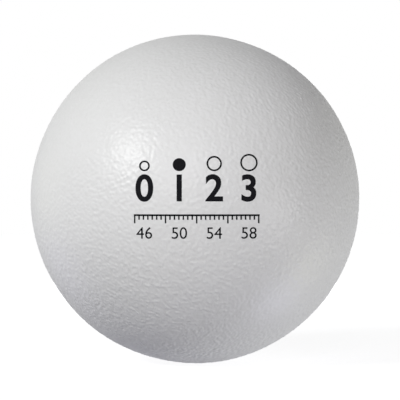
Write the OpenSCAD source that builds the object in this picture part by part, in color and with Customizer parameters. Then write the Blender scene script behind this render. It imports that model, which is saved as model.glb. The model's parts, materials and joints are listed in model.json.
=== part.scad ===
// Soft coated handball: a foam ball under a bonded, seamless, grained elastic skin.
// The origin is the ball's centre, +Z is up and the printed side faces -Y.

/* [Ball] */
// Diameter of the finished ball, over the grain
ball_d = 160; // [140:1:200]

/* [Coating] */
// Depth to which the bond coat soaks into the open foam cells
bond_soak = 0.8; // [0.4:0.1:3]
// Thickness of the elastic base skin
base_skin_t = 0.4; // [0.3:0.05:2]
// Mean thickness of the grained finishing coat
grain_coat_t = 0.25; // [0.2:0.05:1]

/* [Breather vent] */
// Diameter of the needle vent, which lets the foam breathe through the coats
vent_d = 0.8; // [0.5:0.1:3]
// Turn of the vent round the vertical axis, from the printed side
vent_turn = 180; // [0:5:355]
// Height of the vent above the ball's equator, as an angle
vent_rise = 0; // [-85:5:85]

/* [Hidden] */

// Facets of a preview; the surfaces themselves are true spheres and cylinders
$fn = 128;

// Distance that the vent's cut runs past each face that it opens
cut_over = 1;

// Turn that lays an upright cylinder level, pointing to the printed side
quarter_turn = 90;

// Radius of each face where two layers meet, from the outside in
skin_r = ball_d / 2;
base_r = skin_r - grain_coat_t;
bond_r = base_r - base_skin_t;
core_r = bond_r - bond_soak;

// A seamless layer between two concentric spheres, pierced by the vent
module coat(outer_r, inner_r) {
    difference() {
        sphere(r = outer_r);
        sphere(r = inner_r);
        vent_cut(outer_r, inner_r);
    }
}

// The needle's hole through one layer, from inside its inner face to outside its outer face
module vent_cut(outer_r, inner_r) {
    rotate([quarter_turn - vent_rise, 0, vent_turn])
        translate([0, 0, inner_r - cut_over])
            cylinder(d = vent_d, h = outer_r - inner_r + 2 * cut_over);
}

// Open-cell foam, ground round; the needle parts its cells and takes none away
module foam_core() {
    color("#ece4cf") sphere(r = core_r);
}

// First coat, soaked into the cut cells, which seals them and ties the skin to the foam
module bond_coat() {
    color("#d9d3bf") coat(bond_r, core_r);
}

// Tough elastic layers, which take the stretch and the wear
module base_skin() {
    color("#eeeeea") coat(base_r, bond_r);
}

// Pigmented finishing coat, which carries the grain
module grain_coat() {
    color("#f4f4f2") coat(skin_r, base_r);
}

foam_core();
bond_coat();
base_skin();
grain_coat();
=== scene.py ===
"""Looks of a soft coated handball: foam ball, bonded coats, grained skin and printed size scale.

Everything is in metres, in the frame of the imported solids: the origin is the ball's centre, +Z is up
and the printed side faces -Y. Sizes come from those solids, or are fields of the class that uses them.
"""

import json
import logging
import math
from dataclasses import dataclass, field
from enum import Enum

import bmesh
import bpy
import numpy as np
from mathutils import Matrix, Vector

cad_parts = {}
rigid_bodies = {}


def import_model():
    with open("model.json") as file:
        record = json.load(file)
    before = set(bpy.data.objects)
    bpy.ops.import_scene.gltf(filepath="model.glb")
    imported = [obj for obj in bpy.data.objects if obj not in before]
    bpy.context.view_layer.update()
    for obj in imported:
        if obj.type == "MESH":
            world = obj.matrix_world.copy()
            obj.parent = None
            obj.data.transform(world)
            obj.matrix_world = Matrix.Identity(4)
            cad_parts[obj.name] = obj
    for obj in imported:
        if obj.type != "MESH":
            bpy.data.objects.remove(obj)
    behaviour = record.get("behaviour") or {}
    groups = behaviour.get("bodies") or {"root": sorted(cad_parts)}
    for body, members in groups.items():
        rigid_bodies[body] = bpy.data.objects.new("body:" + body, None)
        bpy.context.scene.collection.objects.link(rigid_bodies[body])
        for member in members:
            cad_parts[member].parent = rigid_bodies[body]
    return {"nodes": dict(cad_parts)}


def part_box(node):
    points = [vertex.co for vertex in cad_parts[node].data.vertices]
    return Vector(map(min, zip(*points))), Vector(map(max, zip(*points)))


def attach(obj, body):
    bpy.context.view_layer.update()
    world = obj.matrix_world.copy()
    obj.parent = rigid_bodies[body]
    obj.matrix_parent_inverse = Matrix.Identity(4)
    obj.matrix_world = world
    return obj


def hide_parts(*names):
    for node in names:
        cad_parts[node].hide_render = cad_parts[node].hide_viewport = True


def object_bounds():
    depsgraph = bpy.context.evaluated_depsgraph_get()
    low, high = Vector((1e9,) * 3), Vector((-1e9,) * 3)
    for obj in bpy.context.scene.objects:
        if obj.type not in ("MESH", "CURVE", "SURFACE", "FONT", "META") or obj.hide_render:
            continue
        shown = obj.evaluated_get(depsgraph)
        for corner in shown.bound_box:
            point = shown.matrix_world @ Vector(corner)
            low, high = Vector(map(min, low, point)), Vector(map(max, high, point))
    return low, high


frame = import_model()
CAD_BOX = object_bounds()

MM = 0.001
AXES = 3
EIGHTH_TURN = math.pi / 4
QUARTER_TURN = math.pi / 2
FULL_TURN = 2 * math.pi
FACING = (QUARTER_TURN, 0.0, 0.0)
WHITE = (1.0, 1.0, 1.0, 1.0)
BODY = "root"
BAKE_MAP = "OFBake"
RELIEF = "relief"

# A Mix node has sockets for every type of value; these are its factor, and its colours in and out
COLOUR_MIX_INPUTS = (0, 6, 7)
COLOUR_MIX_OUTPUT = 2

Colour = tuple[float, float, float]
Span = tuple[float, float]
Socket = bpy.types.NodeSocket
log = logging.getLogger("handball")


class Axis(Enum):
    """Directions from the centre: the print, the vent, the boldest grain and the smoothest patch."""

    PRINTED = Vector((0.0, -1.0, 0.0))
    VENT = Vector((0.0, 1.0, 0.0))
    BOLD = Vector((0.447, 0.0, -0.894))
    SMOOTH = Vector((0.42, -0.64, -0.645))


class Seed(Enum):
    """Which variant of the noise each pattern takes."""

    WARP = 3.0
    SWELL = 5.0
    RIPPLE = 11.0
    PIT_SIZE = 23.0


class TreeKind(Enum):
    """What a node group works on."""

    SHAPE = "GeometryNodeTree"
    LOOK = "ShaderNodeTree"


class SocketKind(Enum):
    """What a node group's socket carries."""

    GEOMETRY = "NodeSocketGeometry"
    VECTOR = "NodeSocketVector"
    NUMBER = "NodeSocketFloat"


def select_only(*pieces: bpy.types.Object) -> None:
    """Selects these pieces and nothing else, and makes the first one active.

    Args:
        pieces: the objects to select; none clears the selection.
    """
    for piece in bpy.context.view_layer.objects:
        piece.select_set(False)
    for piece in pieces:
        piece.select_set(True)
    bpy.context.view_layer.objects.active = pieces[0] if pieces else None


def join_pieces(pieces: list[bpy.types.Object], name: str) -> bpy.types.Object:
    """Joins several meshes into one.

    Args:
        pieces: the meshes, of which the first takes in the rest.
        name: what the joined piece is called.

    Returns:
        The joined piece.
    """
    select_only(*pieces)
    bpy.ops.object.join()
    joined = bpy.context.view_layer.objects.active
    joined.name = joined.data.name = name
    return joined


def read_points(items: bpy.types.bpy_prop_collection, label: str) -> np.ndarray:
    """Reads one point of each of a mesh's vertices or faces.

    Args:
        items: the vertices or faces.
        label: Blender's name for the point.

    Returns:
        The points, a row each.
    """
    points = np.empty(len(items) * AXES)
    items.foreach_get(label, points)
    return points.reshape(-1, AXES)


def corner_places(mesh: bpy.types.Mesh) -> tuple[np.ndarray, np.ndarray]:
    """Reads where a mesh's face corners and faces lie.

    Args:
        mesh: the mesh to read.

    Returns:
        The place of each face corner, and for each corner the centre of its face.
    """
    of_corner = np.empty(len(mesh.loops), np.int32)
    mesh.loops.foreach_get("vertex_index", of_corner)
    corners_each = np.empty(len(mesh.polygons), np.int32)
    mesh.polygons.foreach_get("loop_total", corners_each)
    of_face = np.repeat(np.arange(len(corners_each)), corners_each)
    return read_points(mesh.vertices, "co")[of_corner], read_points(mesh.polygons, "center")[of_face]


def opaque(colour: Colour) -> tuple[float, ...]:
    """Gives a colour the full alpha that nodes ask for."""
    return (*colour, 1.0)


class Graph:
    """Adds nodes to one tree and joins them, so that a graph reads like a formula."""

    def __init__(self, tree: bpy.types.NodeTree) -> None:
        """Takes the tree that the nodes go into."""
        self.tree = tree

    def node(self, kind: str, inputs: dict | None = None, **options: object) -> bpy.types.Node:
        """Adds a node.

        Args:
            kind: Blender's name for the type of node.
            inputs: for each input, by name or number, the socket that feeds it or its value.
            options: the node's own settings.

        Returns:
            The new node.
        """
        made = self.tree.nodes.new(kind)
        for option, value in options.items():
            setattr(made, option, value)
        for key, value in (inputs or {}).items():
            if isinstance(value, Socket):
                self.tree.links.new(value, made.inputs[key])
            else:
                made.inputs[key].default_value = value
        return made

    def link(self, source: Socket, node: bpy.types.Node, label: str) -> None:
        """Feeds one of the inputs of a node that is already there."""
        self.tree.links.new(source, node.inputs[label])

    def sum(self, operation: str, *values: "Socket | float") -> Socket:
        """Adds a Math node for one of its operations, with its inputs in order."""
        return self.node("ShaderNodeMath", dict(enumerate(values)), operation=operation).outputs[0]

    def vector(self, operation: str, *values: "Socket | tuple", output: str = "Vector") -> Socket:
        """Adds a Vector Math node for one of its operations, and takes its Vector or its Value."""
        return self.node("ShaderNodeVectorMath", dict(enumerate(values)), operation=operation).outputs[output]

    def scaled(self, vector: Socket, factor: "Socket | float") -> Socket:
        """Adds a Vector Math node that makes a vector longer by a factor."""
        return self.node("ShaderNodeVectorMath", {0: vector, "Scale": factor}, operation="SCALE").outputs[0]

    def off(self, outward: Socket, axis: Axis) -> Socket:
        """Adds the distance between a direction and one of the named ones, on a ball of radius 1."""
        return self.vector("DISTANCE", outward, tuple(axis.value), output="Value")

    def span(self, value: Socket, ends: Span, results: Span, smooth: bool = False) -> Socket:
        """Adds a Map Range node, clamped at both ends.

        Args:
            value: the socket to map.
            ends: the values between which the result changes.
            results: the results at and outside those two ends.
            smooth: whether the result eases in and out.

        Returns:
            The result's socket.
        """
        labels = ("From Min", "From Max", "To Min", "To Max")
        inputs = {"Value": value, **dict(zip(labels, (*ends, *results)))}
        shape = "SMOOTHSTEP" if smooth else "LINEAR"
        return self.node("ShaderNodeMapRange", inputs, interpolation_type=shape).outputs[0]

    def mixed(self, factor: "Socket | float", first: "Socket | tuple", second: "Socket | tuple",
              blend: str = "MIX") -> Socket:
        """Adds a colour Mix node.

        Args:
            factor: the share of the second colour.
            first: the colour at factor 0, as a socket or with its alpha.
            second: the colour at factor 1, in the same form.
            blend: how the second colour is laid over the first.

        Returns:
            The mixed colour's socket.
        """
        inputs = dict(zip(COLOUR_MIX_INPUTS, (factor, first, second)))
        made = self.node("ShaderNodeMix", inputs, data_type="RGBA", blend_type=blend)
        return made.outputs[COLOUR_MIX_OUTPUT]


@dataclass(frozen=True)
class GroupPlan:
    """A node group's name and its named sockets; an input given as a number starts at that number."""

    name: str
    kind: TreeKind
    inputs: dict[str, SocketKind | float]
    outputs: dict[str, SocketKind]

    def start(self) -> tuple[Graph, bpy.types.Node, bpy.types.Node]:
        """Makes the empty group.

        Returns:
            The graph to fill, its input node and its output node.
        """
        tree = bpy.data.node_groups.new(self.name, self.kind.value)
        for label, given in self.inputs.items():
            kind = given if isinstance(given, SocketKind) else SocketKind.NUMBER
            socket = tree.interface.new_socket(label, in_out="INPUT", socket_type=kind.value)
            if given is not kind:
                socket.default_value = given
        for label, kind in self.outputs.items():
            tree.interface.new_socket(label, in_out="OUTPUT", socket_type=kind.value)
        graph = Graph(tree)
        return graph, graph.node("NodeGroupInput"), graph.node("NodeGroupOutput")


@dataclass(frozen=True)
class BallSizes:
    """Radii at which the ball's layers meet, and of its breather vent."""

    skin_r: float
    base_r: float
    bond_r: float
    core_r: float
    vent_r: float

    @classmethod
    def from_frame(cls) -> "BallSizes":
        """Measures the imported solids.

        Returns:
            The sizes.
        """
        radii = [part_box(node)[1].z for node in ("grain_coat", "base_skin", "bond_coat", "foam_core")]
        coat = frame["nodes"]["grain_coat"].data
        behind = [vertex.co for vertex in coat.vertices if vertex.co.dot(Axis.VENT.value) > 0]
        return cls(*radii, min(math.hypot(co.x, co.z) for co in behind))


@dataclass(frozen=True)
class Relief:
    """How the layers depart from true spheres.

    A span gives the two values of a pattern between which its height changes. Boldness is the grain's
    height, as a factor, opposite to and at the direction of boldest grain. The smooth patch starts to
    fade at the first of its reaches and ends at the second, on a ball of radius 1. Near the vent, swell
    and grain fade out from calm_r to rim_r.
    """

    ball_r: float
    coat_t: float
    swell_pitch: float = 55 * MM
    swell_height: float = 1.0 * MM
    pebble_pitch: float = 1.7 * MM
    pebble_height: float = 0.14 * MM
    pebble_smoothness: float = 0.7
    pebble_span: Span = (0.1, 0.7)
    warp: float = 0.5 * MM
    warp_pitch: float = 3.4 * MM
    ripple_pitch: float = 1.2 * MM
    ripple_height: float = 0.2 * MM
    ripple_detail: float = 1.5
    ripple_span: Span = (0.2, 0.8)
    boldness: Span = (0.65, 1.5)
    smooth_reach: Span = (0.05, 0.45)
    smooth_share: float = 0.4
    least_coat: float = 0.06 * MM
    rim_r: float = 0.6 * MM
    calm_r: float = 3.0 * MM
    pit_pitch: float = 3.4 * MM
    pit_depth: float = 0.35 * MM
    pit_span: Span = (0.1, 0.5)
    pit_size_pitch: float = 10.2 * MM
    pit_size_span: Span = (0.35, 0.65)
    least_pit: float = 0.3


class BallShaper:
    """Geometry node groups that turn a cut-up cube into a ball, raise the grain and sink the foam's pits."""

    def __init__(self, relief: Relief) -> None:
        """Builds the groups.

        Args:
            relief: the swell's, the grain's and the pits' sizes.
        """
        self.relief = relief
        self.rounding = self._rounding_group()
        self.graining = self._graining_group()
        self.pitting = self._pitting_group()

    @staticmethod
    def apply(piece: bpy.types.Object, group: bpy.types.NodeTree, radius: float | None = None) -> None:
        """Runs one of the groups on a piece, and keeps its result as the piece's mesh.

        Args:
            piece: the mesh to change.
            group: rounding, graining or pitting.
            radius: the layer face's radius, which rounding needs.
        """
        select_only(piece)
        step = piece.modifiers.new(group.name, "NODES")
        step.node_group = group
        if radius is not None:
            sockets = {item.name: item.identifier for item in group.interface.items_tree}
            step[sockets["Radius"]] = radius
        bpy.ops.object.modifier_apply(modifier=step.name)

    @staticmethod
    def _start(name: str, **numbers: float) -> tuple[Graph, bpy.types.Node, bpy.types.Node]:
        """Starts a group that takes a mesh and some numbers, set to these values, and gives a mesh."""
        inputs = {"Geometry": SocketKind.GEOMETRY, **numbers}
        return GroupPlan(name, TreeKind.SHAPE, inputs, {"Geometry": SocketKind.GEOMETRY}).start()

    @staticmethod
    def _noise(graph: Graph, place: Socket, pitch: float, seed: Seed, detail: float = 1.0) -> bpy.types.Node:
        """Adds a noise with features of this pitch, whose outputs run around a half."""
        settings = {"Vector": place, "W": seed.value, "Scale": 1 / pitch, "Detail": detail}
        return graph.node("ShaderNodeTexNoise", settings, noise_dimensions="4D")

    @staticmethod
    def _moved(graph: Graph, given: bpy.types.Node, way: str, value: Socket) -> Socket:
        """Moves the mesh that a group is given, to a Position or by an Offset."""
        settings = {"Geometry": given.outputs["Geometry"], way: value}
        return graph.node("GeometryNodeSetPosition", settings).outputs[0]

    def _calm(self, graph: Graph, outward: Socket) -> Socket:
        """Adds a mask that is 0 at the vent's rim and 1 away from it, for directions from the centre."""
        ends = (self.relief.rim_r / self.relief.ball_r, self.relief.calm_r / self.relief.ball_r)
        return graph.span(graph.off(outward, Axis.VENT), ends, (0.0, 1.0), smooth=True)

    def _rounding_group(self) -> bpy.types.NodeTree:
        """Brings a cube's points to the ball inside it, where equal cells stay nearly equal, and swells it.

        Returns:
            The group.
        """
        relief = self.relief
        graph, given, result = self._start("round_the_cube", Radius=relief.ball_r)
        radius = given.outputs["Radius"]
        place = graph.node("GeometryNodeInputPosition").outputs[0]
        share = graph.scaled(place, graph.sum("DIVIDE", EIGHTH_TURN, radius))
        outward = graph.vector("NORMALIZE", graph.vector("TANGENT", share))
        on_skin = graph.scaled(outward, relief.ball_r)
        swell = self._noise(graph, on_skin, relief.swell_pitch, Seed.SWELL).outputs[0]
        swell = graph.sum("MULTIPLY", graph.sum("SUBTRACT", swell, 0.5), relief.swell_height)
        swell = graph.sum("MULTIPLY", swell, self._calm(graph, outward))
        swollen = graph.scaled(outward, graph.sum("ADD", radius, swell))
        graph.link(self._moved(graph, given, "Position", swollen), result, "Geometry")
        return graph.tree

    def _grain(self, graph: Graph, place: Socket) -> Socket:
        """Adds the sum of the pebbles and of the ripples that run over them.

        Args:
            graph: the graph that takes it.
            place: where it is read.

        Returns:
            The grain's height above its lowest point.
        """
        relief = self.relief
        stir = self._noise(graph, place, relief.warp_pitch, Seed.WARP).outputs[1]
        stir = graph.scaled(graph.vector("SUBTRACT", stir, (0.5, 0.5, 0.5)), 2 * relief.warp)
        cells = {"Vector": graph.vector("ADD", place, stir), "Scale": 1 / relief.pebble_pitch}
        cells["Smoothness"] = relief.pebble_smoothness
        domes = graph.node("ShaderNodeTexVoronoi", cells, feature="SMOOTH_F1").outputs["Distance"]
        pebble = graph.span(domes, relief.pebble_span, (relief.pebble_height, 0.0), smooth=True)
        ripple = self._noise(graph, place, relief.ripple_pitch, Seed.RIPPLE, relief.ripple_detail).outputs[0]
        ripple = graph.span(ripple, relief.ripple_span, (0.0, relief.ripple_height))
        return graph.sum("ADD", pebble, ripple)

    def _boldness(self, graph: Graph, outward: Socket) -> Socket:
        """Adds the factor by which the grain's height varies over the ball.

        Args:
            graph: the graph that takes it.
            outward: the direction from the centre.

        Returns:
            The factor's socket.
        """
        relief = self.relief
        toward = graph.vector("DOT_PRODUCT", outward, tuple(Axis.BOLD.value), output="Value")
        bold = graph.span(toward, (-1.0, 1.0), relief.boldness)
        bold = graph.sum("MULTIPLY", bold, self._calm(graph, outward))
        shares = (relief.smooth_share, 1.0)
        spared = graph.span(graph.off(outward, Axis.SMOOTH), relief.smooth_reach, shares, smooth=True)
        return graph.sum("MULTIPLY", bold, spared)

    def _graining_group(self) -> bpy.types.NodeTree:
        """Raises the grain along the radius, and stores how high each point of it is.

        Returns:
            The group.
        """
        relief = self.relief
        graph, given, result = self._start("raise_the_grain")
        place = graph.node("GeometryNodeInputPosition").outputs[0]
        outward = graph.vector("NORMALIZE", place)
        full = relief.pebble_height + relief.ripple_height
        grain = self._grain(graph, place)
        height = graph.sum("MULTIPLY", graph.sum("SUBTRACT", grain, full / 2), self._boldness(graph, outward))
        height = graph.sum("MAXIMUM", height, relief.least_coat - relief.coat_t)
        raised = self._moved(graph, given, "Offset", graph.scaled(outward, height))
        level = {"Geometry": raised, "Name": RELIEF, "Value": graph.sum("DIVIDE", grain, full)}
        stored = graph.node("GeometryNodeStoreNamedAttribute", level, data_type="FLOAT")
        graph.link(stored.outputs[0], result, "Geometry")
        return graph.tree

    def _pitting_group(self) -> bpy.types.NodeTree:
        """Sinks the rounded pits that grinding leaves where it opens the foam's larger bubbles.

        Returns:
            The group.
        """
        relief = self.relief
        graph, given, result = self._start("sink_the_pits")
        place = graph.node("GeometryNodeInputPosition").outputs[0]
        bubbles = {"Vector": place, "Scale": 1 / relief.pit_pitch}
        off_bubble = graph.node("ShaderNodeTexVoronoi", bubbles, feature="F1").outputs["Distance"]
        size = self._noise(graph, place, relief.pit_size_pitch, Seed.PIT_SIZE).outputs[0]
        size = graph.span(size, relief.pit_size_span, (relief.least_pit, 1.0))
        depth = graph.span(off_bubble, relief.pit_span, (-relief.pit_depth, 0.0), smooth=True)
        inward = graph.scaled(graph.vector("NORMALIZE", place), graph.sum("MULTIPLY", depth, size))
        graph.link(self._moved(graph, given, "Offset", inward), result, "Geometry")
        return graph.tree


@dataclass
class SharedEffects:
    """Shader node groups that more than one finish uses.

    Pores and struts fade between the two distances of their span, in cells of their pattern.
    """

    drift_detail: float = 3.0
    droplet_detail: float = 2.0
    droplet_roughness: float = 0.6
    pores_per_droplet: float = 1.6
    pore_span: Span = (0.08, 0.22)
    pore_depth: float = 0.35
    strut_span: Span = (0.04, 0.3)

    def __post_init__(self) -> None:
        """Builds the groups."""
        self.tone_drift = self._tone_drift()
        self.fine_grain = self._fine_grain()
        self.open_cells = self._open_cells()

    @staticmethod
    def _start(name: str, outputs: tuple[str, ...],
               **numbers: float) -> tuple[Graph, bpy.types.Node, bpy.types.Node, dict[str, Socket]]:
        """Starts a group with a pattern that is as fine as its Pitch input says.

        Args:
            name: the group's name.
            outputs: the names of its results.
            numbers: its inputs, Pitch among them, with their first values.

        Returns:
            The graph to fill, its input node, its output node, and a texture's Vector and Scale.
        """
        inputs = {"Vector": SocketKind.VECTOR, **numbers}
        plan = GroupPlan(name, TreeKind.LOOK, inputs, dict.fromkeys(outputs, SocketKind.NUMBER))
        graph, given, result = plan.start()
        scale = graph.sum("DIVIDE", 1.0, given.outputs["Pitch"])
        return graph, given, result, {"Vector": given.outputs["Vector"], "Scale": scale}

    def _tone_drift(self) -> bpy.types.NodeTree:
        """A slow drift of tone over the surface, as thickness of spray or dye varies.

        Returns:
            The group, whose output runs around 1.
        """
        graph, given, result, pattern = self._start("tone_drift", ("Tone",), Pitch=30 * MM, Amount=0.02)
        drift = graph.node("ShaderNodeTexNoise", {**pattern, "Detail": self.drift_detail}).outputs[0]
        swing = graph.sum("MULTIPLY", graph.sum("SUBTRACT", drift, 0.5), given.outputs["Amount"])
        graph.link(graph.sum("ADD", 1.0, swing), result, "Tone")
        return graph.tree

    def _fine_grain(self) -> bpy.types.NodeTree:
        """Fine droplets and pores of a sprayed coat, too small for the mesh.

        Returns:
            The group, with a height in metres and a mask of the pores.
        """
        outputs = ("Height", "Pores")
        graph, given, result, pattern = self._start("fine_grain", outputs, Pitch=1.2 * MM, Height=0.02 * MM)
        settings = {**pattern, "Detail": self.droplet_detail, "Roughness": self.droplet_roughness}
        droplets = graph.node("ShaderNodeTexNoise", settings).outputs[0]
        finer = {**pattern, "Scale": graph.sum("MULTIPLY", pattern["Scale"], self.pores_per_droplet)}
        specks = graph.node("ShaderNodeTexVoronoi", finer, feature="F1").outputs["Distance"]
        pores = graph.span(specks, self.pore_span, (1.0, 0.0), smooth=True)
        level = graph.sum("SUBTRACT", droplets, graph.sum("MULTIPLY", pores, self.pore_depth))
        graph.link(graph.sum("MULTIPLY", level, given.outputs["Height"]), result, "Height")
        graph.link(pores, result, "Pores")
        return graph.tree

    def _open_cells(self) -> bpy.types.NodeTree:
        """The cut cells of an open foam: thin struts round rounded pores.

        Returns:
            The group, with a height in metres and a mask of the struts.
        """
        outputs = ("Height", "Struts")
        graph, given, result, pattern = self._start("open_cells", outputs, Pitch=1.1 * MM, Depth=0.2 * MM)
        walls = graph.node("ShaderNodeTexVoronoi", pattern, feature="DISTANCE_TO_EDGE").outputs["Distance"]
        struts = graph.span(walls, self.strut_span, (1.0, 0.0), smooth=True)
        graph.link(graph.sum("MULTIPLY", struts, given.outputs["Depth"]), result, "Height")
        graph.link(struts, result, "Struts")
        return graph.tree


class Finish:
    """A material with a Principled shader, and the nodes that every finish starts from."""

    def __init__(self, name: str) -> None:
        """Makes the material.

        Args:
            name: the finish's name.
        """
        self.material = bpy.data.materials.new(name)
        self.material.use_nodes = True
        self.graph = Graph(self.material.node_tree)
        self.shader = self.material.node_tree.nodes["Principled BSDF"]
        self.place = self.graph.node("ShaderNodeTexCoord").outputs["Object"]

    def group(self, tree: bpy.types.NodeTree, **values: float) -> bpy.types.Node:
        """Places a shared group on the object's own coordinates.

        Args:
            tree: the group.
            values: its other inputs.

        Returns:
            The group's node.
        """
        made = self.graph.node("ShaderNodeGroup", node_tree=tree)
        self.graph.link(self.place, made, "Vector")
        for label, value in values.items():
            made.inputs[label].default_value = value
        return made

    def toned(self, colour: Socket, drift: bpy.types.Node) -> Socket:
        """Lets a colour follow the slow drift of tone.

        Args:
            colour: the colour's socket.
            drift: the drift's group.

        Returns:
            The drifting colour's socket.
        """
        tone = drift.outputs[0]
        grey = self.graph.node("ShaderNodeCombineColor", {"Red": tone, "Green": tone, "Blue": tone})
        return self.graph.mixed(1.0, colour, grey.outputs[0], blend="MULTIPLY")

    def bump(self, height: Socket) -> None:
        """Feeds a height in metres to the shader's normal."""
        bump = self.graph.node("ShaderNodeBump", {"Height": height, "Distance": 1.0, "Strength": 1.0})
        self.feed("Normal", bump.outputs[0])

    def feed(self, label: str, value: "Socket | float") -> None:
        """Sets or links one of the shader's inputs.

        Args:
            label: the input's name.
            value: a socket, or a plain value.
        """
        if isinstance(value, Socket):
            self.graph.link(value, self.shader, label)
        else:
            self.shader.inputs[label].default_value = value


@dataclass(frozen=True)
class ElastomerFinish:
    """Sprayed polyurethane elastomer: satin, pebbled, duller in its creases; creases and pores carry painted
    shade.
    """

    name: str
    colour: Colour
    # Painted shade: the darker colour that the creases and pores take.
    crease_shade_colour: Colour
    roughness: float
    crease_roughness: float
    fine_pitch: float
    fine_height: float
    gloss: float = 0.0
    crease_gloss: float = 0.0
    specular: float = 0.5
    drift: float = 0.03
    drift_pitch: float = 35 * MM
    crease_span: Span = (0.15, 0.6)

    def make(self, effects: SharedEffects) -> bpy.types.Material:
        """Builds the material.

        Args:
            effects: the shared groups.

        Returns:
            The material.
        """
        finish = Finish(self.name)
        graph = finish.graph
        relief = graph.node("ShaderNodeAttribute", attribute_name=RELIEF).outputs["Fac"]
        crease = graph.span(relief, self.crease_span, (1.0, 0.0), smooth=True)
        fine = finish.group(effects.fine_grain, Pitch=self.fine_pitch, Height=self.fine_height)
        drift = finish.group(effects.tone_drift, Pitch=self.drift_pitch, Amount=self.drift)
        dip = graph.sum("MAXIMUM", crease, fine.outputs["Pores"])
        # Painted shade: the creases and pores take the darker colour.
        colour = graph.mixed(dip, opaque(self.colour), opaque(self.crease_shade_colour))
        finish.feed("Base Color", finish.toned(colour, drift))
        finish.feed("Roughness", graph.span(dip, (0.0, 1.0), (self.roughness, self.crease_roughness)))
        finish.feed("Specular IOR Level", self.specular)
        if self.gloss:
            finish.feed("Coat Weight", graph.span(dip, (0.0, 1.0), (self.gloss, self.crease_gloss)))
            finish.feed("Coat Roughness", (self.roughness + self.crease_roughness) / 2)
        finish.bump(fine.outputs["Height"])
        return finish.material


@dataclass(frozen=True)
class FoamFinish:
    """Open-cell foam, bare or soaked with a coat, with painted shade darkening its pores."""

    name: str
    strut_colour: Colour
    # Painted shade: the darker colour of the pores' hollows.
    pore_shade_colour: Colour
    roughness: float
    cell_pitch: float
    cell_depth: float
    pore_roughness: float = 1.0
    drift: float = 0.12
    drift_pitch: float = 18 * MM

    def make(self, effects: SharedEffects) -> bpy.types.Material:
        """Builds the material.

        Args:
            effects: the shared groups.

        Returns:
            The material.
        """
        finish = Finish(self.name)
        graph = finish.graph
        cells = finish.group(effects.open_cells, Pitch=self.cell_pitch, Depth=self.cell_depth)
        drift = finish.group(effects.tone_drift, Pitch=self.drift_pitch, Amount=self.drift)
        struts = cells.outputs["Struts"]
        # Painted shade: between the struts, the pores take the darker colour.
        colour = graph.mixed(struts, opaque(self.pore_shade_colour), opaque(self.strut_colour))
        finish.feed("Base Color", finish.toned(colour, drift))
        finish.feed("Roughness", graph.span(struts, (0.0, 1.0), (self.pore_roughness, self.roughness)))
        finish.bump(cells.outputs["Height"])
        return finish.material


@dataclass(frozen=True)
class InkFinish:
    """Pad-printed ink: a thin, matt, nearly black film that lets the grain show as gloss."""

    name: str = "print_ink"
    colour: Colour = (0.003, 0.003, 0.0045)
    thin_colour: Colour = (0.006, 0.006, 0.008)
    thin_span: Span = (1.0, 1.3)
    roughness: float = 0.75
    pore_roughness: float = 0.9
    fine_pitch: float = 1.2 * MM
    fine_height: float = 0.02 * MM
    drift: float = 1.0
    drift_pitch: float = 3 * MM
    specular: float = 0.1

    def make(self, effects: SharedEffects) -> bpy.types.Material:
        """Builds the material.

        Args:
            effects: the shared groups.

        Returns:
            The material.
        """
        finish = Finish(self.name)
        graph = finish.graph
        fine = finish.group(effects.fine_grain, Pitch=self.fine_pitch, Height=self.fine_height)
        drift = finish.group(effects.tone_drift, Pitch=self.drift_pitch, Amount=self.drift)
        thin = graph.span(drift.outputs[0], self.thin_span, (0.0, 1.0), smooth=True)
        roughness = graph.span(fine.outputs["Pores"], (0.0, 1.0), (self.roughness, self.pore_roughness))
        finish.feed("Base Color", graph.mixed(thin, opaque(self.colour), opaque(self.thin_colour)))
        finish.feed("Roughness", roughness)
        finish.feed("Specular IOR Level", self.specular)
        finish.bump(fine.outputs["Height"])
        return finish.material


@dataclass
class Sheet:
    """One face of a layer: a ball of six even patches, made from a cube.

    A patch's side has as many cells as its divisions multiply to, an even number on a sheet with a vent.
    """

    radius: float
    divisions: tuple[int, ...] = (48,)

    @property
    def cells(self) -> int:
        """How many cells there are along a patch's side."""
        return math.prod(self.divisions)

    def build(self, shaper: BallShaper, name: str) -> bpy.types.Object:
        """Cuts up a cube and rounds it.

        Args:
            shaper: the groups that round it.
            name: the sheet's name.

        Returns:
            The closed sheet, facing outwards.
        """
        select_only()
        bpy.ops.mesh.primitive_cube_add(size=2 * self.radius, calc_uvs=False)
        sheet = bpy.context.active_object
        sheet.name = sheet.data.name = name
        bpy.ops.object.mode_set(mode="EDIT")
        for parts in self.divisions:
            bpy.ops.mesh.select_all(action="SELECT")
            bpy.ops.mesh.subdivide(number_cuts=parts - 1)
        bpy.ops.object.mode_set(mode="OBJECT")
        shaper.apply(sheet, shaper.rounding, self.radius)
        return sheet

    def open_vent(self, sheet: bpy.types.Object, vent_r: float, cells_out: int) -> None:
        """Takes out the cells round the vent's axis and draws the gap in to a round rim.

        Args:
            sheet: the closed sheet.
            vent_r: the rim's radius.
            cells_out: how many cells are taken out on each side of the axis.
        """
        reach = cells_out * self.radius * QUARTER_TURN / self.cells
        select_only(sheet)
        bpy.ops.object.mode_set(mode="EDIT")
        bpy.ops.mesh.select_mode(type="FACE")
        mesh = bmesh.from_edit_mesh(sheet.data)
        for face in mesh.faces:
            centre = face.calc_center_median()
            face.select_set(centre.y > 0 and max(abs(centre.x), abs(centre.z)) < reach)
        bmesh.update_edit_mesh(sheet.data)
        bpy.ops.mesh.delete(type="FACE")
        bpy.ops.mesh.select_mode(type="EDGE")
        bpy.ops.mesh.select_non_manifold()
        bpy.ops.mesh.extrude_region()
        mesh = bmesh.from_edit_mesh(sheet.data)
        rim = [vertex for vertex in mesh.verts if vertex.select]
        depth = math.sqrt(self.radius**2 - vent_r**2)
        step = FULL_TURN / len(rim)
        for vertex in rim:
            turn = round(math.atan2(vertex.co.z, vertex.co.x) / step) * step
            vertex.co = (vent_r * math.cos(turn), depth, vent_r * math.sin(turn))
        bmesh.update_edit_mesh(sheet.data)
        bpy.ops.object.mode_set(mode="OBJECT")


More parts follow.
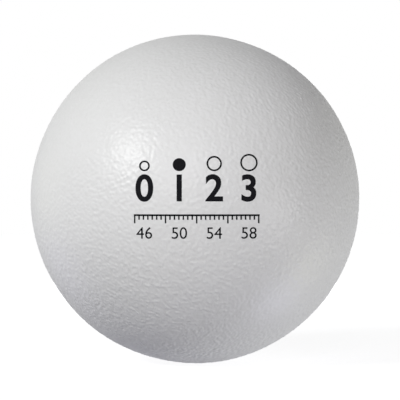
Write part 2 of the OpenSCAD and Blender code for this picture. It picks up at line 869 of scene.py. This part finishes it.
@dataclass(frozen=True)
class BakeMap:
    """Lays the six patches of a ball's sheets side by side on one square map.

    The outer sheet's patches lie in two rows of three, and the inner sheet's in one row above them.
    """

    gap: float = 0.01
    outer_share: float = 0.9
    outer_columns: int = 3
    outer_rows: int = 2

    def lay(self, piece: bpy.types.Object, split_r: float) -> None:
        """Gives the piece its map.

        Args:
            piece: a ball or a shell between two spheres.
            split_r: faces nearer the centre than this belong to the inner sheet.
        """
        layer = piece.data.uv_layers.new(name=BAKE_MAP)
        corners, centres = corner_places(piece.data)
        main = np.abs(centres).argmax(1)
        each = np.arange(len(main))
        side = 2 * main + (centres[each, main] > 0)
        depth = np.abs(corners[each, main])
        turns = [np.arctan2(corners[each, (main + step) % AXES], depth) / EIGHTH_TURN for step in (1, 2)]
        across, along = (0.5 + 0.5 * (1 - self.gap) * turn for turn in turns)
        columns, rows = self.outer_columns, self.outer_rows
        outer_u = (side % columns + across) / columns
        outer_v = (side // columns + along) / rows * self.outer_share
        inner_u = (side + across) / (columns * rows)
        inner_v = self.outer_share + along * (1 - self.outer_share)
        inner = np.linalg.norm(centres, axis=1) < split_r
        places = np.stack([np.where(inner, inner_u, outer_u), np.where(inner, inner_v, outer_v)], 1)
        layer.uv.foreach_set("vector", places.astype(np.float32).ravel())


@dataclass
class Coat:
    """A bonded layer: a shell between two spheres, pierced by the vent.

    Cells out are those that the vent takes out of a sheet on each side of its axis. The split share is
    how far out, from the inner sphere to the outer one, the bake map tells the two sheets apart.
    """

    name: str
    node: str
    slot: str
    outer: Sheet
    inner: Sheet
    vent_r: float
    finish: ElastomerFinish | FoamFinish
    grained: bool = False
    padded: bool = False
    outer_cells_out: int = 1
    inner_cells_out: int = 1
    split_share: float = 0.2
    sharp_angle: float = math.radians(50)

    def build(self, shaper: BallShaper, effects: SharedEffects) -> bpy.types.Object:
        """Args:
            shaper: the groups that round and grain its faces.
            effects: the shared shader groups.

        Returns:
            The coat's piece.
        """
        outer = self.outer.build(shaper, self.name)
        if self.grained:
            shaper.apply(outer, shaper.graining)
        self.outer.open_vent(outer, self.vent_r, self.outer_cells_out)
        inner = self.inner.build(shaper, self.name + "_inner")
        self.inner.open_vent(inner, self.vent_r, self.inner_cells_out)
        piece = join_pieces([outer, inner], self.name)
        self._close_shell(piece)
        split_r = self.outer.radius * self.split_share + self.inner.radius * (1 - self.split_share)
        BakeMap().lay(piece, split_r)
        piece.data.materials.append(self.finish.make(effects))
        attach(piece, BODY)
        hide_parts(self.node)
        return piece

    def _close_shell(self, piece: bpy.types.Object) -> None:
        """Walls the vent between the two rims, and turns every face out of the coat.

        Args:
            piece: the outer and inner sheets, joined into one mesh.
        """
        select_only(piece)
        bpy.ops.object.mode_set(mode="EDIT")
        bpy.ops.mesh.select_mode(type="EDGE")
        bpy.ops.mesh.select_all(action="DESELECT")
        bpy.ops.mesh.select_non_manifold()
        bpy.ops.mesh.bridge_edge_loops()
        bpy.ops.mesh.select_all(action="SELECT")
        bpy.ops.mesh.normals_make_consistent(inside=False)
        bpy.ops.object.mode_set(mode="OBJECT")
        bpy.ops.object.shade_smooth_by_angle(angle=self.sharp_angle)


@dataclass
class FoamBall:
    """The open-cell foam core, a padded ball whose cut face is pitted."""

    surface: Sheet
    finish: FoamFinish
    name: str = "foam_ball"

    def build(self, shaper: BallShaper, effects: SharedEffects) -> bpy.types.Object:
        """Args:
            shaper: the groups that round and pit it.
            effects: the shared shader groups.

        Returns:
            The core's piece.
        """
        piece = self.surface.build(shaper, self.name)
        shaper.apply(piece, shaper.pitting)
        bpy.ops.object.shade_smooth()
        BakeMap(outer_share=1.0).lay(piece, 0.0)
        piece.data.materials.append(self.finish.make(effects))
        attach(piece, BODY)
        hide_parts("foam_core")
        return piece


@dataclass(frozen=True)
class NumeralStyle:
    """How a row of the scale's numbers is drawn: its height, its place and its strokes.

    Weight is how far the strokes are swollen, and steps is how finely their curves are cut.
    """

    height: float
    z: float
    weight: float
    steps: int


@dataclass
class SizeScale:
    """The printed size scale: ball marks, heavy numerals and a graduated rule, as one film of ink.

    Places are from the scale's centre, which is itself a little off the middle of the printed side.
    Shapes are first drawn flat, at the stand-off from the skin. The sizes are those of handballs, and
    the rounds are their circumferences in centimetres. Capital is a digit's height as a share of its
    text's size.
    """

    skin: bpy.types.Object
    skin_r: float
    centre_x: float = 1.0 * MM
    centre_z: float = 0.8 * MM
    stand_off: float = 5.0 * MM
    sizes: tuple[str, ...] = ("0", "1", "2", "3")
    picked: int = 1
    column: float = 15.5 * MM
    heavy: NumeralStyle = NumeralStyle(12.0 * MM, 3.2 * MM, 0.35 * MM, 12)
    mark_r: tuple[float, ...] = (2.4 * MM, 2.9 * MM, 3.4 * MM, 3.9 * MM)
    mark_line: float = 0.75 * MM
    mark_foot: float = 11.3 * MM
    mark_sides: int = 96
    rule_z: float = -8.2 * MM
    rule_line: float = 0.8 * MM
    rule_half: float = 28.0 * MM
    tick_count: int = 29
    tick_line: float = 0.64 * MM
    tick_length: float = 2.0 * MM
    long_tick_length: float = 3.6 * MM
    long_tick_every: int = 7
    rounds: tuple[str, ...] = ("46", "50", "54", "58")
    light: NumeralStyle = NumeralStyle(5.4 * MM, -16.4 * MM, 0.0, 8)
    capital: float = 0.73
    cell: float = 0.3 * MM
    weld: float = 0.002 * MM
    lift: float = 0.045 * MM
    thickness: float = 0.06 * MM
    sharp_angle: float = math.radians(40)
    ink: InkFinish = InkFinish()
    name: str = "size_scale"
    shapes: list[bpy.types.Object] = field(default_factory=list)

    def build(self, effects: SharedEffects) -> bpy.types.Object:
        """Draws the scale flat, wraps it on the grain and gives it the ink's thickness.

        Args:
            effects: the shared shader groups.

        Returns:
            The film of ink.
        """
        for index, size in enumerate(self.sizes):
            self._number(size, self._column_x(index), self.heavy)
            self._mark(self._column_x(index), self.mark_r[index], filled=index == self.picked)
        self._rule()
        for index, number in enumerate(self.rounds):
            self._number(number, self._column_x(index), self.light)
        film = join_pieces(self.shapes, self.name)
        self._cut_into_cells(film)
        self._wrap(film)
        film.data.materials.clear()
        film.data.materials.append(self.ink.make(effects))
        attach(film, BODY)
        return film

    def _column_x(self, index: int) -> float:
        """Gives a column's middle along X, by its number from the left."""
        return (index - (len(self.sizes) - 1) / 2) * self.column

    def _off_skin(self, x: float, z: float) -> tuple[float, float, float]:
        """Gives the place just off the printed side, where a shape is drawn flat."""
        return (self.centre_x + x, -self.skin_r - self.stand_off, self.centre_z + z)

    def _keep(self) -> bpy.types.Object:
        """Adds the active shape to the scale, with its place in its mesh.

        Returns:
            The shape.
        """
        shape = bpy.context.active_object
        bpy.ops.object.transform_apply(location=True, rotation=True, scale=True)
        self.shapes.append(shape)
        return shape

    def _number(self, text: str, x: float, style: NumeralStyle) -> None:
        """Writes a plain number facing the printed side.

        Args:
            text: the digits.
            x: their middle, along X.
            style: their height, their middle along Z, and their strokes.
        """
        select_only()
        bpy.ops.object.text_add(location=self._off_skin(x, style.z), rotation=FACING)
        number = bpy.context.active_object
        number.data.body = text
        number.data.align_x = "CENTER"
        number.data.align_y = "CENTER"
        number.data.size = style.height / self.capital
        number.data.offset = style.weight
        number.data.resolution_u = style.steps
        bpy.ops.object.convert(target="MESH")
        self._keep()

    def _mark(self, x: float, radius: float, filled: bool) -> None:
        """Draws a ball mark: a ring, or a disc for the size that this ball has.

        Args:
            x: its middle, along X.
            radius: its outer radius.
            filled: whether it is a disc.
        """
        select_only()
        place = self._off_skin(x, self.mark_foot + radius)
        bpy.ops.mesh.primitive_circle_add(
            vertices=self.mark_sides, radius=radius, fill_type="NGON", location=place, rotation=FACING)
        mark = self._keep()
        if not filled:
            select_only(mark)
            bpy.ops.object.mode_set(mode="EDIT")
            bpy.ops.mesh.select_all(action="SELECT")
            bpy.ops.mesh.inset(thickness=self.mark_line)
            bpy.ops.mesh.delete(type="FACE")
            bpy.ops.object.mode_set(mode="OBJECT")

    def _bar(self, x: float, z: float, width: float, height: float) -> None:
        """Draws an upright rectangle.

        Args:
            x: its middle, along X.
            z: its middle, along Z.
            width: its size along X.
            height: its size along Z.
        """
        select_only()
        bpy.ops.mesh.primitive_plane_add(size=1.0, location=self._off_skin(x, z), rotation=FACING)
        bpy.context.active_object.scale = (width, height, 1.0)
        self._keep()

    def _rule(self) -> None:
        """Draws the graduated rule under the numerals."""
        self._bar(0.0, self.rule_z, 2 * self.rule_half, self.rule_line)
        for index in range(self.tick_count):
            share = index / (self.tick_count - 1)
            length = self.tick_length if index % self.long_tick_every else self.long_tick_length
            x = (2 * share - 1) * (self.rule_half - self.rule_line / 2)
            self._bar(x, self.rule_z - length / 2, self.tick_line, length)

    def _cut_into_cells(self, film: bpy.types.Object) -> None:
        """Cuts the flat film into small cells, so that it can follow the grain.

        Args:
            film: the flat film.
        """
        select_only(film)
        points = read_points(film.data.vertices, "co")
        low, high = points.min(0), points.max(0)
        bpy.ops.object.mode_set(mode="EDIT")
        for axis, direction in ((0, (1.0, 0.0, 0.0)), (2, (0.0, 0.0, 1.0))):
            for step in range(1, math.ceil((high[axis] - low[axis]) / self.cell)):
                bpy.ops.mesh.select_all(action="SELECT")
                through = [low[axis] + step * self.cell * part for part in direction]
                bpy.ops.mesh.bisect(plane_co=through, plane_no=direction)
        bpy.ops.mesh.select_all(action="SELECT")
        bpy.ops.mesh.remove_doubles(threshold=self.weld)
        bpy.ops.object.mode_set(mode="OBJECT")

    def _wrap(self, film: bpy.types.Object) -> None:
        """Presses the film on the grained skin and gives it the ink's thickness.

        Args:
            film: the flat film, cut into cells.
        """
        select_only(film)
        press = film.modifiers.new("press", "SHRINKWRAP")
        press.wrap_method = "PROJECT"
        press.wrap_mode = "ABOVE_SURFACE"
        press.use_project_y = True
        press.use_positive_direction = True
        press.use_negative_direction = False
        press.target = self.skin
        press.offset = self.lift
        bpy.ops.object.modifier_apply(modifier=press.name)
        body = film.modifiers.new("film", "SOLIDIFY")
        body.thickness = self.thickness
        body.offset = -1.0
        bpy.ops.object.modifier_apply(modifier=body.name)
        bpy.ops.object.shade_smooth_by_angle(angle=self.sharp_angle)


@dataclass(frozen=True)
class Softbox:
    """A square studio lamp that faces the ball and that the camera doesn't see.

    The bearing is from the camera's side, positive to the right, and it and the rise are in degrees.
    """

    name: str
    bearing: float
    rise: float
    side: float
    watts: float
    tint: Colour = (1.0, 1.0, 1.0)
    distance: float = 1.3

    def place(self) -> bpy.types.Object:
        """Hangs the lamp in its direction from the ball.

        Returns:
            The lamp.
        """
        bearing, rise = math.radians(self.bearing), math.radians(self.rise)
        level = math.cos(rise)
        outward = Vector((math.sin(bearing) * level, -math.cos(bearing) * level, math.sin(rise)))
        select_only()
        bpy.ops.object.light_add(type="AREA", location=outward * self.distance)
        lamp = bpy.context.active_object
        lamp.name = lamp.data.name = self.name
        lamp.rotation_euler = outward.to_track_quat("Z", "Y").to_euler()
        lamp.data.shape = "SQUARE"
        lamp.data.size = self.side
        lamp.data.energy = self.watts
        lamp.data.color = self.tint
        lamp.data.cycles.use_multiple_importance_sampling = self.rise > 0
        lamp.visible_camera = False
        return lamp


@dataclass(frozen=True)
class PhotoCamera:
    """The level camera, set so that the ball's outline falls where it does in the photograph."""

    lens_mm: float = 150.0
    sensor_mm: float = 36.0
    image_px: float = 400.0
    outline_x_px: float = 194.98
    outline_y_px: float = 198.67
    outline_r_px: float = 164.1

    def place(self, ball_r: float) -> bpy.types.Object:
        """Sets up the camera.

        Args:
            ball_r: the ball's radius.

        Returns:
            The camera.
        """
        focal_px = self.lens_mm / self.sensor_mm * self.image_px
        distance = math.hypot(focal_px * ball_r / self.outline_r_px, ball_r)
        metres_per_px = distance / focal_px
        right = (self.image_px / 2 - self.outline_x_px) * metres_per_px
        down = (self.image_px / 2 - self.outline_y_px) * metres_per_px
        place = Axis.PRINTED.value * distance + Vector((right, 0.0, -down))
        select_only()
        bpy.ops.object.camera_add(location=place, rotation=FACING)
        camera = bpy.context.active_object
        camera.name = camera.data.name = "photo_camera"
        camera.data.lens = self.lens_mm
        camera.data.sensor_width = self.sensor_mm
        bpy.context.scene.camera = camera
        return camera


@dataclass
class Studio:
    """A light table in white surroundings, softboxes above and below it, and the camera.

    The table's glow grows from its middle to full white at plain_r, so that the ball's shadow shows.
    """

    ball_r: float
    lamps: tuple[Softbox, ...] = (
        Softbox("key_softbox", -46.6, 26.6, 0.28, 10.17, (0.987, 1.0, 0.988)),
        Softbox("top_fill", 0.0, 25.0, 0.4, 2.33, (0.957, 0.953, 1.0)),
        Softbox("front_fill", -10.0, 12.0, 0.4, 2.24, (1.0, 0.95, 0.955)),
        Softbox("right_fill", 60.0, -12.0, 0.4, 4.28, (1.0, 0.988, 0.988)),
        Softbox("right_table_fill", 100.0, -30.0, 0.4, 1.93, (0.976, 1.0, 0.707)),
        Softbox("right_low_fill", 100.0, -50.0, 0.4, 2.85, (0.779, 0.785, 1.0)),
        Softbox("left_low_fill", -120.0, -25.0, 0.6, 1.25, (0.691, 0.642, 1.0)),
        Softbox("left_rim", -120.0, 0.0, 0.6, 0.87, (0.96, 1.0, 0.749)),
        Softbox("rear_fill", 180.0, 5.0, 0.2, 2.4, distance=0.8),
    )
    ambient_strength: float = 0.01
    floor_r: float = 3.0
    floor_sides: int = 96
    floor_colour: Colour = (0.25, 0.25, 0.266)
    floor_roughness: float = 0.9
    floor_glow: float = 0.9
    plain_r: float = 0.9

    def build(self) -> None:
        """Sets the whole stage."""
        self._world()
        self._floor()
        for lamp in self.lamps:
            lamp.place()
        PhotoCamera().place(self.ball_r)
        bpy.context.scene.view_settings.view_transform = "Standard"

    @staticmethod
    def _seen_directly(graph: Graph) -> Socket:
        """Adds a mask of the rays that show the surroundings rather than light the ball.

        Args:
            graph: the graph that needs the mask.

        Returns:
            The mask's socket.
        """
        path = graph.node("ShaderNodeLightPath").outputs
        mirrored = graph.sum("MAXIMUM", path["Is Glossy Ray"], path["Is Transmission Ray"])
        return graph.sum("MAXIMUM", path["Is Camera Ray"], mirrored)

    def _world(self) -> None:
        """Surroundings that are seen as white and light the ball softly."""
        world = bpy.data.worlds.new("studio_white")
        world.use_nodes = True
        bpy.context.scene.world = world
        world.node_tree.nodes.clear()
        graph = Graph(world.node_tree)
        lighting = graph.node("ShaderNodeBackground", {0: WHITE, 1: self.ambient_strength})
        white = graph.node("ShaderNodeBackground", {0: WHITE, 1: 1.0})
        seen = {0: self._seen_directly(graph), 1: lighting.outputs[0], 2: white.outputs[0]}
        graph.node("ShaderNodeOutputWorld", {0: graph.node("ShaderNodeMixShader", seen).outputs[0]})

    def _floor(self) -> None:
        """A white table under the ball, which keeps its soft shadow and lets the lamps under it through."""
        select_only()
        level = (0.0, 0.0, CAD_BOX[0].z)
        bpy.ops.mesh.primitive_circle_add(
            vertices=self.floor_sides, radius=self.floor_r, fill_type="NGON", location=level)
        floor = bpy.context.active_object
        floor.name = floor.data.name = "light_table"
        floor.visible_shadow = False
        table = Finish("white_table")
        table.material.cycles.emission_sampling = "NONE"
        table.feed("Roughness", self.floor_roughness)
        table.feed("Specular IOR Level", 0.0)
        table.feed("Base Color", opaque(self.floor_colour))
        graph = table.graph
        off_centre = graph.vector("LENGTH", table.place, output="Value")
        glow = graph.span(off_centre, (0.0, self.plain_r), (self.floor_glow, 1.0), smooth=True)
        strength = graph.sum("MULTIPLY", self._seen_directly(graph), glow)
        white = graph.node("ShaderNodeEmission", {0: WHITE, 1: strength})
        shown = graph.node("ShaderNodeAddShader", {0: table.shader.outputs[0], 1: white.outputs[0]})
        graph.link(shown.outputs[0], graph.tree.nodes["Material Output"], "Surface")
        floor.data.materials.append(table.material)


def core(sizes: BallSizes) -> FoamBall:
    """Gives the foam ball at the middle.

    Args:
        sizes: the ball's radii.

    Returns:
        The core.
    """
    # The darker pore colour is painted shade in the foam's pores.
    foam = FoamFinish(
        "open_cell_foam", strut_colour=(0.86, 0.79, 0.62), pore_shade_colour=(0.5, 0.42, 0.28),
        roughness=0.85, cell_pitch=1.1 * MM, cell_depth=0.25 * MM)
    return FoamBall(Sheet(sizes.core_r, divisions=(60, 2)), foam)


def coats(sizes: BallSizes) -> list[Coat]:
    """Gives the three bonded coats, from the foam outwards.

    Args:
        sizes: the ball's radii.

    Returns:
        The coats.
    """
    # The darker pore colour is painted shade in the soaked foam's pores.
    soaked = FoamFinish(
        "soaked_foam", strut_colour=(0.74, 0.68, 0.52), pore_shade_colour=(0.6, 0.54, 0.4),
        roughness=0.6, cell_pitch=1.1 * MM, cell_depth=0.08 * MM)
    # The darker crease colour, here and in the grained white below, is painted shade in the creases and
    # pores.
    elastic = ElastomerFinish(
        "elastic_base", colour=(0.78, 0.78, 0.75), crease_shade_colour=(0.72, 0.72, 0.69),
        roughness=0.38, crease_roughness=0.5, fine_pitch=1.6 * MM, fine_height=0.02 * MM)
    grain = ElastomerFinish(
        "grained_white", colour=(0.8, 0.8, 0.8), crease_shade_colour=(0.785, 0.785, 0.782),
        roughness=0.34, crease_roughness=0.42, fine_pitch=1.2 * MM, fine_height=0.01 * MM,
        gloss=0.73, crease_gloss=0.64, specular=0.0)
    in_core, in_bond, in_base = (Sheet(radius) for radius in (sizes.core_r, sizes.bond_r, sizes.base_r))
    skin = Sheet(sizes.skin_r, divisions=(60, 5))
    return [
        Coat("soaked_bond", "bond_coat", "bond", in_bond, in_core, sizes.vent_r, soaked, padded=True),
        Coat("elastic_base", "base_skin", "base", in_base, in_bond, sizes.vent_r, elastic),
        Coat("grained_skin", "grain_coat", "grain", skin, in_base, sizes.vent_r, grain,
             grained=True, padded=True, outer_cells_out=2),
    ]


def report(piece: bpy.types.Object) -> bpy.types.Object:
    """Logs a finished piece, and hands it back."""
    log.info("%s: %d faces", piece.name, len(piece.data.polygons))
    return piece


def write_sizes() -> None:
    """Brings the view layer up to date."""
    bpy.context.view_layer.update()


def main() -> None:
    """Builds the ball from the inside out, then the stage, and reports each piece."""
    logging.basicConfig(level=logging.INFO, format="%(name)s: %(message)s")
    sizes = BallSizes.from_frame()
    shaper = BallShaper(Relief(sizes.skin_r, sizes.skin_r - sizes.base_r))
    effects = SharedEffects()
    report(core(sizes).build(shaper, effects))
    for coat in coats(sizes):
        skin = report(coat.build(shaper, effects))
    report(SizeScale(skin, sizes.skin_r).build(effects))
    Studio(sizes.skin_r).build()
    select_only()
    write_sizes()


if __name__ == "__main__":
    main()
